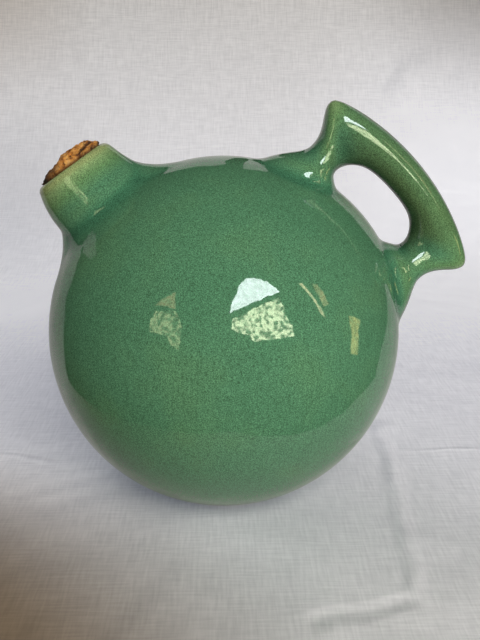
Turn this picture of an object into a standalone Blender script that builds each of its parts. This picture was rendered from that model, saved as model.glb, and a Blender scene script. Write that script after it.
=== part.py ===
# Ball jug: a round pottery water jug with a tilted spout, a cork and a loop handle.
# Metres, +Z up. The foot stands on z = 0 at the origin, +X points to the handle.
import bpy
import bmesh
from math import acos, cos, pi, radians, sin, sqrt, tan
from mathutils import Matrix, Vector

# Ball
BALL_DIAMETER = 0.176
BALL_WALL = 0.0055
FLOOR_THICKNESS = 0.0065
FOOT_DIAMETER = 0.056
FOOT_HEIGHT = 0.0035
FOOT_STEP = 0.005
FOOT_EDGE = 0.001

# Spout: its axis passes the middle of the ball at the offset, its height is over the ball
SPOUT_TILT = radians(34.7)
SPOUT_HEIGHT = 0.0239
SPOUT_OFFSET = 0.0123
MOUTH_DIAMETER = 0.0414
LIP_RADIUS = 0.0034
LIP_SWEEP = radians(75)
SPOUT_WALL = 0.0042
BORE_TAPER = radians(3.6)
BORE_EDGE = 0.0008
FLARE_TILT = radians(41.4)
FLARE_HEIGHT_SHARE = 0.72
FLARE_REACH = 0.022
FLARE_EDGE = 0.0008
FLARE_NARROWING_SHARE = 0.88
FLARE_FILLET_POWER = 16

# Barrel below the lip: depth as a share of the spout's height, radius as a share of the mouth's,
# and how far its middle has moved towards the handle as a share of the mouth's radius
BARREL_SHARES = (
    (0.19, 1.027, 0.000),
    (0.29, 1.063, 0.000),
    (0.42, 1.104, 0.010),
    (0.52, 1.135, 0.024),
    (0.61, 1.164, 0.043),
    (0.74, 1.208, 0.082),
    (0.92, 1.261, 0.126),
    (1.13, 1.324, 0.174),
    (1.87, 1.498, 0.338),
)

# Cork, a taper plug whose top is broken off unevenly
CORK_DEPTH = 0.021
CORK_STAND = 0.0042
CORK_FALL_SHARE = 0.4
CORK_CLEARANCE = 0.0003
CORK_CRUMB = 0.0005
CRUMB_SPACING = 0.007

# Handle, a loop about the middle of the ball
HANDLE_DIRECTION = radians(49.3)
HANDLE_STAND = 0.0399
GRIP_THICKNESS = 0.0186
GRIP_WIDTH = 0.024
HANDLE_HALF_SPREAD = radians(25.6)
HOLE_HALF_SPREAD = radians(13.9)
HOLE_TURN = radians(0.8)
HOLE_SLANT = 0.0045
RIDGE_HEIGHT = 0.0034
ROOT_WIDTH = 0.040

# Pieces that were luted together keep this gap, and cutters run past by the overrun
SEAT_GAP = 0.0003
OVERRUN = 0.004

# Facets
BALL_STEPS = 48
BALL_ARC_STEPS = 22
CAVITY_ARC_STEPS = 16
SPOUT_STEPS = 40
FOOT_STEPS = 48
CORK_STEPS = 36
CORK_RINGS = 5
EDGE_STEPS = 4
FLARE_STEPS = 10
HALVINGS = 20
HANDLE_LEVELS = 2
SHARP_ANGLE = radians(40)
MERGE = 0.00001

# Derived sizes
BALL_RADIUS = BALL_DIAMETER / 2
CAVITY_RADIUS = BALL_RADIUS - BALL_WALL
FOOT_RADIUS = FOOT_DIAMETER / 2
FLAT_RADIUS = FOOT_RADIUS + FOOT_STEP
FLAT_DEPTH = sqrt(BALL_RADIUS**2 - FLAT_RADIUS**2)
BALL_MIDDLE = Vector((0, 0, FOOT_HEIGHT + FLAT_DEPTH))
FLOOR_DEPTH = FLAT_DEPTH - FLOOR_THICKNESS
MOUTH_RADIUS = MOUTH_DIAMETER / 2
BORE_RADIUS = MOUTH_RADIUS - SPOUT_WALL
SPOUT_SIDE = Vector((cos(SPOUT_TILT), 0, sin(SPOUT_TILT)))
SPOUT_ORIGIN = BALL_MIDDLE - SPOUT_SIDE * SPOUT_OFFSET
SPOUT_SEAT = sqrt(BALL_RADIUS**2 - SPOUT_OFFSET**2)
SPOUT_REACH = SPOUT_SEAT + SPOUT_HEIGHT
SPOUT_BOTTOM = SPOUT_SEAT - MOUTH_DIAMETER
FLARE_HEIGHT = SPOUT_HEIGHT * FLARE_HEIGHT_SHARE
FLARE_TOP_RADIUS = MOUTH_RADIUS - LIP_RADIUS / 2
FLARE_END_RADIUS = MOUTH_RADIUS + FLARE_REACH
SPOUT_FRAME = Matrix.Translation(SPOUT_ORIGIN) @ Matrix.Rotation(-SPOUT_TILT, 4, "Y")
FLARE_FRAME = Matrix.Translation(BALL_MIDDLE) @ Matrix.Rotation(-FLARE_TILT, 4, "Y")
FLARE_TO_SPOUT = SPOUT_FRAME.inverted() @ FLARE_FRAME
CORK_RADIUS = BORE_RADIUS - CORK_CLEARANCE
HANDLE_REACH = BALL_RADIUS + HANDLE_STAND
GRIP_RADIUS = HANDLE_REACH - GRIP_THICKNESS

# Broken top of the cork across the spout, from the ball's far side towards the handle:
# place as a share of the cork's radius, height as a share of the cork's stand
CORK_TOP_SHARES = (
    (-1.0, 0.35),
    (-0.82, 0.62),
    (-0.45, 0.92),
    (-0.12, 1.38),
    (0.06, 1.70),
    (0.30, 1.38),
    (0.55, 1.10),
    (0.72, 1.24),
    (0.93, 0.98),
    (1.0, 0.60),
)

# One leg of the handle's cage, round from the middle of the grip, down the leg and back along
# the ball. Each row has the outline's angle as a share of the half spread and its height as a share
# of the handle's full height, then the hole's angle as a share of its half spread and its height
# as a share of the hole's, then how far the width has gone from the grip's to the root's.
HANDLE_CAGE_SHARES = (
    (0.00, 1.016, 0.000, 0.936, 0.00),
    (0.33, 1.016, 0.300, 0.936, 0.00),
    (0.64, 1.016, 0.560, 0.920, 0.00),
    (0.86, 1.012, 0.730, 0.820, -0.02),
    (1.015, 1.000, 0.860, 0.670, -0.15),
    (1.010, 0.810, 0.965, 0.540, -0.10),
    (0.950, 0.600, 1.040, 0.400, 0.00),
    (0.955, 0.430, 1.050, 0.270, 0.10),
    (1.00, 0.295, 1.020, 0.150, 0.30),
    (1.17, 0.205, 0.930, 0.055, 0.65),
    (1.46, 0.070, 0.740, 0.030, 1.00),
    (1.76, -0.100, 0.400, 0.030, 1.00),
    (0.90, -0.250, 0.200, 0.030, 0.60),
    (0.00, -0.220, 0.000, 0.030, 0.45),
)
CAGE_SWELL_SHARE = 1.09

# Colours and finish of each material, linear
GLAZE_COLOUR = (0.075, 0.205, 0.105, 1)
GLAZE_ROUGHNESS = 0.08
CLAY_COLOUR = (0.60, 0.47, 0.34, 1)
CLAY_ROUGHNESS = 0.85
CORK_COLOUR = (0.27, 0.105, 0.026, 1)
CORK_ROUGHNESS = 0.9


def clear_scene():
    for item in list(bpy.data.objects):
        bpy.data.objects.remove(item)


def collection(name):
    group = bpy.data.collections.new(name)
    bpy.context.scene.collection.children.link(group)
    return group


def material(name, colour, roughness):
    finish = bpy.data.materials.new(name)
    finish.use_nodes = True
    shader = finish.node_tree.nodes["Principled BSDF"]
    shader.inputs["Base Color"].default_value = colour
    shader.inputs["Roughness"].default_value = roughness
    shader.inputs["Metallic"].default_value = 0
    return finish


def new_object(name, mesh, group, finish=None):
    item = bpy.data.objects.new(name, mesh)
    group.objects.link(item)
    if finish:
        mesh.materials.append(finish)
    else:
        item.display_type = "WIRE"
        item.hide_render = True
    return item


def arc(middle, radius, start, end, steps):
    """Points of an arc in the profile plane; angles run from +Z towards +X."""
    for step in range(steps + 1):
        angle = start + (end - start) * step / steps
        yield middle[0] + radius * sin(angle), middle[1] + radius * cos(angle)


def turned(name, profile, steps, group, finish=None):
    """A profile of (radius, height) points, run down the outside, turned about +Z."""
    mesh = bpy.data.meshes.new(name)
    edges = [(i, i + 1) for i in range(len(profile) - 1)]
    mesh.from_pydata([(radius, 0, height) for radius, height in profile], edges, [])
    item = new_object(name, mesh, group, finish)
    screw = item.modifiers.new("turn", "SCREW")
    screw.steps = screw.render_steps = steps
    screw.use_merge_vertices = True
    screw.merge_threshold = MERGE
    return item


def ringed(name, rings, group, finish):
    """A solid skinned over rings of points, run down the outside, with flat ends."""
    steps = len(rings[0])
    points = [point for ring in rings for point in ring]
    faces = [tuple(range(steps)), tuple(range(len(points) - 1, len(points) - 1 - steps, -1))]
    for ring in range(len(rings) - 1):
        upper = ring * steps
        lower = upper + steps
        for i in range(steps):
            j = (i + 1) % steps
            faces.append((upper + i, lower + i, lower + j, upper + j))
    mesh = bpy.data.meshes.new(name)
    mesh.from_pydata(points, [], faces)
    return new_object(name, mesh, group, finish)


def boolean(item, other, operation):
    step = item.modifiers.new(other.name, "BOOLEAN")
    step.operation = operation
    step.object = other


def on_spout_axis(item):
    item.location = SPOUT_ORIGIN
    item.rotation_euler = (0, -SPOUT_TILT, 0)


def ball_profile(grow):
    """Outside of the ball, flattened over the foot, grown outwards by a gap."""
    radius = BALL_RADIUS + grow
    floor = FLAT_DEPTH + grow
    edge = pi - acos(floor / radius)
    points = list(arc((0, 0), radius, 0, edge, BALL_ARC_STEPS))
    return points + [(0, -floor)]


def cavity_profile():
    edge = pi - acos(FLOOR_DEPTH / CAVITY_RADIUS)
    points = list(arc((0, 0), CAVITY_RADIUS, 0, edge, CAVITY_ARC_STEPS))
    return points + [(0, -FLOOR_DEPTH)]


def bore_radius(height):
    return BORE_RADIUS - (SPOUT_REACH - height) * tan(BORE_TAPER)


def bore_profile():
    """Tapered bore with a softened edge at the mouth, from above it into the ball."""
    bottom = SPOUT_SEAT - MOUTH_RADIUS
    edge_middle = (BORE_RADIUS + BORE_EDGE, SPOUT_REACH - BORE_EDGE)
    edge = list(arc(edge_middle, BORE_EDGE, 0, -pi / 2, EDGE_STEPS))
    top = [(0, SPOUT_REACH + OVERRUN), (BORE_RADIUS + BORE_EDGE, SPOUT_REACH + OVERRUN)]
    return top + edge + [(bore_radius(bottom), bottom), (0, bottom)]


def ring(radius, height, lean):
    """A round ring about the spout's axis that steps aside along +X."""
    for step in range(SPOUT_STEPS):
        angle = 2 * pi * step / SPOUT_STEPS
        yield Vector((lean + radius * cos(angle), radius * sin(angle), height))


def barrel_at(height):
    """Radius and lean of the barrel at a height on the spout's axis."""
    depth = (SPOUT_REACH - height) / SPOUT_HEIGHT
    for upper, lower in zip(BARREL_SHARES, BARREL_SHARES[1:]):
        if depth <= lower[0]:
            break
    share = (depth - upper[0]) / (lower[0] - upper[0])
    radius = upper[1] + (lower[1] - upper[1]) * share
    lean = upper[2] + (lower[2] - upper[2]) * share
    return radius * MOUTH_RADIUS, lean * MOUTH_RADIUS


def flare_point(angle, reach, height):
    """A point at a height over the ball, at a reach from the flare's axis."""
    level = sqrt(BALL_RADIUS**2 - reach**2) + height
    return FLARE_TO_SPOUT @ Vector((reach * cos(angle), reach * sin(angle), level))


def barrel_reach(angle, height):
    """How far the barrel reaches from the flare's axis at a height over the ball."""
    near, far = 0, MOUTH_DIAMETER
    for _ in range(HALVINGS):
        middle = (near + far) / 2
        point = flare_point(angle, middle, height)
        radius, lean = barrel_at(point.z)
        if (point.x - lean)**2 + point.y**2 < radius**2:
            near = middle
        else:
            far = middle
    return near


def flare_ring(share):
    """The outer one of barrel and concave flare, with a fillet where they cross."""
    height = FLARE_EDGE + (FLARE_HEIGHT - FLARE_EDGE) * share**3
    radius = FLARE_END_RADIUS - (FLARE_END_RADIUS - FLARE_TOP_RADIUS) * share
    for step in range(SPOUT_STEPS):
        angle = 2 * pi * step / SPOUT_STEPS
        flare = radius / sqrt(cos(angle)**2 + (sin(angle) / FLARE_NARROWING_SHARE)**2)
        barrel = barrel_reach(angle, height)
        reach = (flare**FLARE_FILLET_POWER + barrel**FLARE_FILLET_POWER)**(1 / FLARE_FILLET_POWER)
        yield flare_point(angle, reach, height)


def spout_rings():
    """Rings round the lip, down the barrel and out over the ball, then down into it."""
    lip_middle = (MOUTH_RADIUS - LIP_RADIUS, SPOUT_REACH - LIP_RADIUS)
    lip = arc(lip_middle, LIP_RADIUS, 0, LIP_SWEEP, EDGE_STEPS)
    rings = [list(ring(radius, height, 0)) for radius, height in lip]
    for depth, radius, lean in BARREL_SHARES[:2]:
        height = SPOUT_REACH - depth * SPOUT_HEIGHT
        rings.append(list(ring(radius * MOUTH_RADIUS, height, lean * MOUTH_RADIUS)))
    for step in range(FLARE_STEPS + 1):
        rings.append(list(flare_ring(1 - step / FLARE_STEPS)))
    rings.append([Vector((point.x, point.y, SPOUT_BOTTOM)) for point in rings[-1]])
    return rings


def make_cutters(group):
    cavity = turned("cavity", cavity_profile(), BALL_STEPS, group)
    cavity.location = BALL_MIDDLE
    seat = turned("ball_seat", ball_profile(SEAT_GAP), BALL_STEPS, group)
    seat.location = BALL_MIDDLE
    bore = turned("bore", bore_profile(), SPOUT_STEPS, group)
    on_spout_axis(bore)
    return cavity, seat, bore


def make_ball(group, finish, bore, cavity):
    ball = turned("ball_body", ball_profile(0), BALL_STEPS, group, finish)
    ball.location = BALL_MIDDLE
    boolean(ball, bore, "DIFFERENCE")
    boolean(ball, cavity, "DIFFERENCE")


def make_foot(group, finish):
    height = FOOT_HEIGHT - SEAT_GAP
    turned("foot", [
        (0, height),
        (FOOT_RADIUS, height),
        (FOOT_RADIUS, FOOT_EDGE),
        (FOOT_RADIUS - FOOT_EDGE, 0),
        (0, 0),
    ], FOOT_STEPS, group, finish)


def make_spout(group, finish, bore, seat):
    """Lip, barrel and flare in one skin, then bored through and seated on the ball."""
    spout = ringed("spout", spout_rings(), group, finish)
    on_spout_axis(spout)
    boolean(spout, bore, "DIFFERENCE")
    boolean(spout, seat, "DIFFERENCE")


def handle_station(shares, leg):
    """One cross section of the handle's cage on the upper leg, 1, or the lower leg, -1."""
    outline_angle, outline_height, hole_angle, hole_height, widening = shares
    ridge_radius = BALL_RADIUS + RIDGE_HEIGHT
    outline = (leg * outline_angle * HANDLE_HALF_SPREAD,
               BALL_RADIUS + outline_height * (HANDLE_REACH - BALL_RADIUS))
    turn = leg * hole_angle * HOLE_HALF_SPREAD + HOLE_TURN
    hole = (turn, ridge_radius + hole_height * (GRIP_RADIUS - ridge_radius) - HOLE_SLANT * turn)
    width = (GRIP_WIDTH + widening * (ROOT_WIDTH - GRIP_WIDTH)) * CAGE_SWELL_SHARE
    points = []
    for angle, radius in (outline, hole):
        for side in (-1, 1):
            points.append((radius * cos(angle), side * width / 2, radius * sin(angle)))
    return points


def make_handle(group, finish, seat):
    """A cage of square sections round the loop, up one leg and down the other, subdivided."""
    bm = bmesh.new()
    stations = [handle_station(shares, 1) for shares in HANDLE_CAGE_SHARES[::-1]]
    stations += [handle_station(shares, -1) for shares in HANDLE_CAGE_SHARES[1:-1]]
    rings = []
    for front_out, back_out, front_in, back_in in stations:
        rings.append([bm.verts.new(p) for p in (front_out, back_out, back_in, front_in)])
    for ring, following in zip(rings, rings[1:] + rings[:1]):
        for i in range(4):
            j = (i + 1) % 4
            bm.faces.new((ring[i], ring[j], following[j], following[i]))
    bmesh.ops.recalc_face_normals(bm, faces=bm.faces)
    mesh = bpy.data.meshes.new("handle")
    bm.to_mesh(mesh)
    bm.free()
    handle = new_object("handle", mesh, group, finish)
    handle.location = BALL_MIDDLE
    handle.rotation_euler = (0, HANDLE_DIRECTION - pi / 2, 0)
    rounding = handle.modifiers.new("rounding", "SUBSURF")
    rounding.levels = rounding.render_levels = HANDLE_LEVELS
    boolean(handle, seat, "DIFFERENCE")
    mesh.shade_smooth()
    mesh.set_sharp_from_angle(angle=SHARP_ANGLE)


def cork_top(x, y):
    """Height of the broken top over the mouth at a place on the cork."""
    place = max(-1, min(1, x / CORK_RADIUS))
    height = CORK_TOP_SHARES[-1][1]
    for (x0, h0), (x1, h1) in zip(CORK_TOP_SHARES, CORK_TOP_SHARES[1:]):
        if x0 <= place <= x1:
            height = h0 + (h1 - h0) * (place - x0) / (x1 - x0)
            break
    fall = 1 - CORK_FALL_SHARE * (y / CORK_RADIUS)**2
    crumb = sin(x / CRUMB_SPACING * 2 * pi) * cos(y / CRUMB_SPACING * 2 * pi)
    return height * fall * CORK_STAND + crumb * CORK_CRUMB


def make_cork(group, finish):
    """A taper plug: rings inset in its top cap are then raised to the broken surface."""
    bottom_radius = bore_radius(SPOUT_REACH - CORK_DEPTH) - CORK_CLEARANCE
    bm = bmesh.new()
    place = Matrix.Translation((0, 0, SPOUT_REACH - CORK_DEPTH / 2))
    bmesh.ops.create_cone(bm, cap_ends=True, segments=CORK_STEPS, radius1=bottom_radius,
                          radius2=CORK_RADIUS, depth=CORK_DEPTH, matrix=place)
    top = [face for face in bm.faces if face.normal.z > 0 and len(face.verts) > 4]
    for ring in range(CORK_RINGS):
        bmesh.ops.inset_region(bm, faces=top, thickness=CORK_RADIUS / (CORK_RINGS + 1))
    bmesh.ops.poke(bm, faces=top)
    for vert in bm.verts:
        if vert.co.z > SPOUT_REACH - CORK_CLEARANCE:
            vert.co.z += cork_top(vert.co.x, vert.co.y)
    bmesh.ops.triangulate(bm, faces=bm.faces)
    mesh = bpy.data.meshes.new("cork_stopper")
    bm.to_mesh(mesh)
    bm.free()
    cork = new_object("cork_stopper", mesh, group, finish)
    on_spout_axis(cork)


def build():
    clear_scene()
    parts = collection("ball_jug")
    cutters = collection("cutters")
    glaze = material("green_glaze", GLAZE_COLOUR, GLAZE_ROUGHNESS)
    clay = material("bare_clay", CLAY_COLOUR, CLAY_ROUGHNESS)
    cork = material("natural_cork", CORK_COLOUR, CORK_ROUGHNESS)
    cavity, seat, bore = make_cutters(cutters)
    make_ball(parts, glaze, bore, cavity)
    make_foot(parts, clay)
    make_spout(parts, glaze, bore, seat)
    make_handle(parts, glaze, seat)
    make_cork(parts, cork)


build()
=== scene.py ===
# Looks of the ball jug: one fired and glazed pot, its bare foot and a broken cork.
# Metres, +Z up, +X towards the handle. The jug stands on z = 0.
from math import cos, pi, radians, sin, sqrt, tan

import bmesh
import bpy
import numpy as np
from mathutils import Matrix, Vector, noise
from mathutils.bvhtree import BVHTree


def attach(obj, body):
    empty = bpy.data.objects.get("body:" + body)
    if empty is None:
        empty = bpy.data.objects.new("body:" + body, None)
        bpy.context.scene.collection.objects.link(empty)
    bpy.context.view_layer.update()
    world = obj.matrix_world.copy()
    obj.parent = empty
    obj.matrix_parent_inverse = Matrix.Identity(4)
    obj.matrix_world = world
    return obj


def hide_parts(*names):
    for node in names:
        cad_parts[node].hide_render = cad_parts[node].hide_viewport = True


# Ball, as in the solids
BALL_RADIUS = 0.088
BALL_WALL = 0.0055
FLOOR_THICKNESS = 0.0065
FOOT_HEIGHT = 0.0035
FLAT_RADIUS = 0.033
FLAT_DEPTH = sqrt(BALL_RADIUS**2 - FLAT_RADIUS**2)
BALL_MIDDLE = Vector((0, 0, FOOT_HEIGHT + FLAT_DEPTH))

# Spout, measured along and across its own axis from the middle of the ball. Only the middle of
# its mouth is a place in the jug's own frame.
SPOUT_TILT = radians(34.7)
SPOUT_OFFSET = 0.0123
SPOUT_RISE = 0.0239
SPOUT_SEAT = sqrt(BALL_RADIUS**2 - SPOUT_OFFSET**2)
SPOUT_REACH = SPOUT_SEAT + SPOUT_RISE
SPOUT_ORIGIN = Vector((-cos(SPOUT_TILT), 0, -sin(SPOUT_TILT))) * SPOUT_OFFSET
SPOUT_AXIS = Vector((-sin(SPOUT_TILT), 0, cos(SPOUT_TILT)))
SPOUT_SIDE = Vector((cos(SPOUT_TILT), 0, sin(SPOUT_TILT)))
MOUTH_MIDDLE = BALL_MIDDLE + SPOUT_ORIGIN + SPOUT_AXIS * SPOUT_REACH
MOUTH_RADIUS = 0.0207
LIP_RADIUS = 0.0034
LIP_ROUND = radians(75)
LIP_STEPS = 8
BORE_RADIUS = 0.0165
BORE_TAPER = radians(3.6)
BORE_EDGE = 0.0008
BORE_EDGE_STEPS = 5
BORE_START = 0.004

# Barrel of the spout below its lip: depth below the mouth, radius, and how far its middle has
# moved towards the handle
BARREL = (
    (0.0046, 0.02125, 0.0),
    (0.0070, 0.0220, 0.0),
    (0.0100, 0.02285, 0.0002),
    (0.0123, 0.0235, 0.0005),
    (0.0145, 0.0241, 0.0009),
    (0.0178, 0.0250, 0.0017),
    (0.0220, 0.0258, 0.0026),
    (0.0270, 0.0266, 0.0036),
    (0.0446, 0.0290, 0.0070),
)

# Clay luted round the barrel's foot: a wide collar, narrowed towards the front and back, and a
# tight coil. Each ring is its distance from the collar's axis and its height over the ball. The
# thin edge of each is then tucked in and down, under the ball's skin.
COLLAR_TILT = radians(41.4)
COLLAR_NARROWING = 0.76
COLLAR_TUCK_IN = 0.002
COLLAR_TUCK_DOWN = 0.006
WIDE_COLLAR = (
    (0.0190, 0.0178), (0.0210, 0.0139), (0.0230, 0.0106), (0.0250, 0.0079), (0.0270, 0.0057),
    (0.0290, 0.0041), (0.0310, 0.0028), (0.0330, 0.0019), (0.0355, 0.0011), (0.0385, 0.0005),
    (0.0427, 0.0001),
)
COIL = (
    (0.0235, 0.0052), (0.0250, 0.0040), (0.0262, 0.0030), (0.0274, 0.0021), (0.0287, 0.0013),
    (0.0304, 0.0006), (0.0330, 0.0002), (0.0355, 0.0001),
)

# Handle, in polar sizes about the middle of the ball
HANDLE_DIRECTION = radians(49.3)
HANDLE_REACH = 0.1279
GRIP_THICKNESS = 0.0186
GRIP_RADIUS = HANDLE_REACH - GRIP_THICKNESS
GRIP_WIDTH = 0.024
HANDLE_HALF_SPREAD = radians(25.6)
HOLE_HALF_SPREAD = radians(13.9)
HOLE_TURN = radians(0.8)
HOLE_SLANT = 0.0045
RIDGE_HEIGHT = 0.0034
RIDGE_RADIUS = BALL_RADIUS + RIDGE_HEIGHT
ROOT_WIDTH = 0.040
CAGE_SWELL = 1.09
CAGE_DRAW = 0.001
CAGE_ROUNDING = 4

# Saddle that the ball swells into between the handle's roots
SADDLE_HEIGHT = 0.0029
SADDLE_HALF_WIDTH = 0.039
SADDLE_FULL_LENGTH = 0.020
SADDLE_END = 0.045
SADDLE_FADE = 0.020

# Half of the handle's cage, from the middle of the grip, down a leg and back along the ball. The
# other half is its mirror. Each row has the outline's angle as a share of the half spread and its
# height as a share of the handle's full height, then the hole's angle as a share of its half
# spread and its height as a share of the hole's, then how far the width has gone from the grip's
# to the root's.
HANDLE_CAGE = (
    (0.00, 1.016, 0.000, 0.936, 0.00),
    (0.33, 1.016, 0.300, 0.936, 0.00),
    (0.64, 1.016, 0.560, 0.920, 0.00),
    (0.86, 1.012, 0.730, 0.820, -0.02),
    (1.015, 1.000, 0.860, 0.670, -0.15),
    (1.010, 0.810, 0.955, 0.530, -0.10),
    (0.950, 0.600, 1.030, 0.390, 0.00),
    (0.955, 0.430, 1.060, 0.260, 0.10),
    (1.00, 0.295, 1.040, 0.120, 0.30),
    (1.17, 0.205, 0.920, 0.000, 0.65),
    (1.46, 0.070, 0.740, -0.250, 1.00),
    (1.76, -0.100, 0.400, -0.350, 1.00),
    (0.90, -0.250, 0.200, -0.380, 0.60),
    (0.00, -0.220, 0.000, -0.380, 0.45),
)

# Cork: the plug, and its head as it is drawn out over the mouth before it is broken
CORK_DEPTH = 0.021
CORK_GAP = 0.0003
CORK_STEPS = 96
CORK_FLARE = 0.0006
CORK_HEAD_RADIUS = 0.0169
CORK_DRAWN = 0.004
CORK_GRAIN = 0.0005
CORK_SMOOTH_ANGLE = radians(60)

# Outline of the broken head: places across the spout and heights over the mouth
CORK_HEAD = (
    (-0.0170, 0.0008),
    (-0.0155, 0.0015),
    (-0.0144, 0.0020),
    (-0.0101, 0.0035),
    (-0.0062, 0.0040),
    (-0.0039, 0.0043),
    (0.0001, 0.0064),
    (0.0045, 0.0060),
    (0.0092, 0.0057),
    (0.0119, 0.0049),
    (0.0145, 0.0042),
    (0.0160, 0.0044),
    (0.0168, 0.0028),
)

# How the head is broken: the shares of its height that it loses at the front and back, and along
# its edge from this share of its radius outwards. Then the lumps and pits of the break, each as a
# noise scale per metre and a height, and how far the pits also go into its side.
CORK_FALL = 0.40
CORK_EDGE_LOSS = 0.45
CORK_EDGE_FROM = 0.7
CORK_EDGE_WIDTH = 0.3
CORK_LUMPS = ((330, 0.0007), (900, 0.0004))
CORK_PITS = (420, 0.0014)
CORK_PITS_SHIFT = Vector((3, 1, 7))
CORK_PITS_FROM = 0.28
CORK_PITS_FADE = 0.2
CORK_PITS_ASIDE = 0.6

# A crack in the front of the head: its ends, as places across the spout and heights over the
# mouth, how far its edges and ends soften, and how it wanders, as a noise scale and a distance
CRACK_FROM = (0.0088, 0.0024)
CRACK_TO = (0.0146, 0.0036)
CRACK_HALF_WIDTH = 0.0005
CRACK_DEPTH = 0.0016
CRACK_EDGE = 1.8
CRACK_END_FADE = 5
CRACK_WANDER = (500, 0.0005)

# Camera, worked out from the photo
CAMERA_PLACE = (0, -0.4150, 0.2200)
CAMERA_TURN = (radians(72.67), 0, radians(-1.11))
CAMERA_LENS = 47.81
CAMERA_SENSOR = 36

# Cloth sheet: it lies on the floor, sweeps up and hangs behind the jug. Its outline is in
# metres across and along the cloth, and what lies outside it doesn't show in the glaze.
SHEET_SIZE = 3.2
SWEEP_START = 0.35
SWEEP_RADIUS = 0.35
SWEEP_CUTS = 24
SHEET_OUTLINE = (
    (0.006, -0.152), (0.122, -0.080), (0.188, -0.033), (0.241, 0.023), (0.379, 0.097),
    (0.507, 0.252), (0.80, 0.63), (0.93, 0.95), (0.93, 1.15), (0.70, 1.50),
    (0.30, 1.12), (0.20, 1.13), (0.15, 1.19), (0.085, 1.22), (0.072, 0.88), (0.05, 0.80),
    (0.03, 0.86), (0.00, 1.04), (0.008, 1.13),
    (-0.03, 1.16), (-0.09, 1.14), (-0.14, 1.10), (-0.30, 1.02), (-0.55, 1.02), (-1.00, 1.14),
    (-1.45, 1.34), (-1.33, 1.15), (-0.98, 0.98), (-0.85, 0.90), (-0.87, 0.855), (-0.98, 0.83),
    (-1.04, 0.78), (-0.947, 0.473), (-0.359, 0.124), (-0.213, 0.046), (-0.186, -0.005),
    (-0.141, -0.072), (-0.094, -0.120),
)
CLOTH = "e3e1e0"

# Shades on the cloth: middle, how far it is full and where it ends, and what it does to the colour
CLOTH_SHADES = (
    ((-0.24, -0.24, 0), 0.185, 0.315, "92806b"),
    ((-0.27, 0.53, 0.05), 0.02, 0.20, "dcdcdc"),
    ((0.36, 0.69, 0.34), 0.05, 0.24, "c4c1bc"),
    ((-0.30, 0.69, 0.30), 0.02, 0.18, "efeae4"),
)

# Threads, drawn 1.3 mm apart so that they show, and uneven along 17 mm: noise scales per metre
WARP_SCALES = (750, 60, 60)
WEFT_SCALES = (60, 750, 750)
WEAVE_NOISE = (0.7, 1.3)
WEAVE_LIGHT = (0.89, 1.11)

# Soft folds about 200 mm across: scale per metre and height
FOLD_SCALE = 5
FOLD_HEIGHT = 0.016

# Creases of the cloth: from, to, half width and height. They wander up to 6 mm off their lines, in
# waves of some 40 mm, and fade between these shares of their length, counted from their middle.
CREASE_WANDER_SCALE = 25
CREASE_WANDER = 0.012
CREASE_FADE = (0.35, 0.55)
CREASES = (
    ((0.0985, 0.075, 0), (0.0899, -0.0138, 0), 0.008, 0.0018),
    ((0.0905, -0.005, 0), (0.0834, -0.1123, 0), 0.008, 0.0011),
    ((0.100, 0.0337, 0), (0.190, 0.0325, 0), 0.003, 0.0005),
    ((0.030, -0.125, 0), (0.0845, -0.1075, 0), 0.008, -0.0009),
    ((-0.17, 0.049, 0), (-0.0934, 0.0221, 0), 0.004, 0.0006),
    ((0.320, 0.66, 0.30), (0.175, 0.66, 0.110), 0.030, 0.0070),
    ((0.270, 0.66, 0.30), (0.210, 0.66, 0.18), 0.020, 0.0035),
    ((-0.09, 0.66, 0.30), (-0.12, 0.66, 0.05), 0.012, 0.0008),
)

# Painted light, a glow of the cloth that the camera alone sees: its colours near and far, where it
# grows along the floor and fades up the hanging part, and a brighter place with its reach
PAINTED_LIGHT_NEAR = "6d8adc"
PAINTED_LIGHT_FAR = "edf0ff"
PAINTED_LIGHT_STRENGTH = 0.31
PAINTED_LIGHT_ALONG = (-0.16, 0.32)
PAINTED_LIGHT_UP = (0.03, 0.29)
BRIGHT_PLACE = (0.34, 0.62, 0.11)
BRIGHT_REACH = (0.05, 0.30)
BRIGHT_STRENGTH = 0.14

# Bright shapes of the room: corners as degrees round from the front and degrees up, colour,
# strength, and how strong the darkest leaves in front of them are as a share of that. The leaves
# are a noise of some 90 mm at 2 m.
PANE_DISTANCE = 2.0
LEAF_SCALE = 11
LEAF_NOISE = (0.42, 0.58)
PANES = (
    ("window_sky", ((11, 44), (20, 47), (37, 43), (41, 36), (4, 28)), "e6f2f3", 21, 0.8),
    ("window_trees", ((5, 25), (39, 33), (43, 9), (17, 10), (14, 14), (5, 18)), "d2dcb4", 22, 0.1),
    ("left_blind", ((-48, 27), (-36, 37), (-32, 28)), "b9a77c", 7, 0.6),
    ("left_trees", ((-48, 18), (-46, 25), (-32, 27), (-26, 18), (-28, 5), (-31, 6), (-35, 11),
                    (-46, 11)), "c6d09c", 8, 0.15),
    ("rail_long", ((58, 37), (61, 36), (67, 14), (65, 15)), "e0d8a8", 14, 0.5),
    ("rail_short", ((69, 32), (72, 30), (73, 19), (69, 19)), "c8b07c", 8, 0.5),
    ("door_gap", ((84, 8), (94, 3), (90, 0), (88, -10), (83, -8), (84, 2)), "d3c77a", 7, 0.5),
)

# Steps round the turned shapes, the grain of the fused clay and its sponging
TURN_STEPS = 72
BALL_STEPS = 160
CAVITY_STEPS = 72
CLAY_GRAIN = 0.0013
SPONGE_PASSES = 4
POT_SMOOTH_ANGLE = radians(50)

# Seams: how far they are smoothed from where the pieces meet, and how often
SEAM_REACH = 0.006
SPOUT_SEAM_PASSES = 6
ROOT_SEAM_PASSES = 43

# The plain ball is made round again: up to how far off it, and from where over the flat
ROUND_REACH = 0.0006
FLAT_EDGE = 0.001
FLAT_BLEND = 0.004

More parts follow.
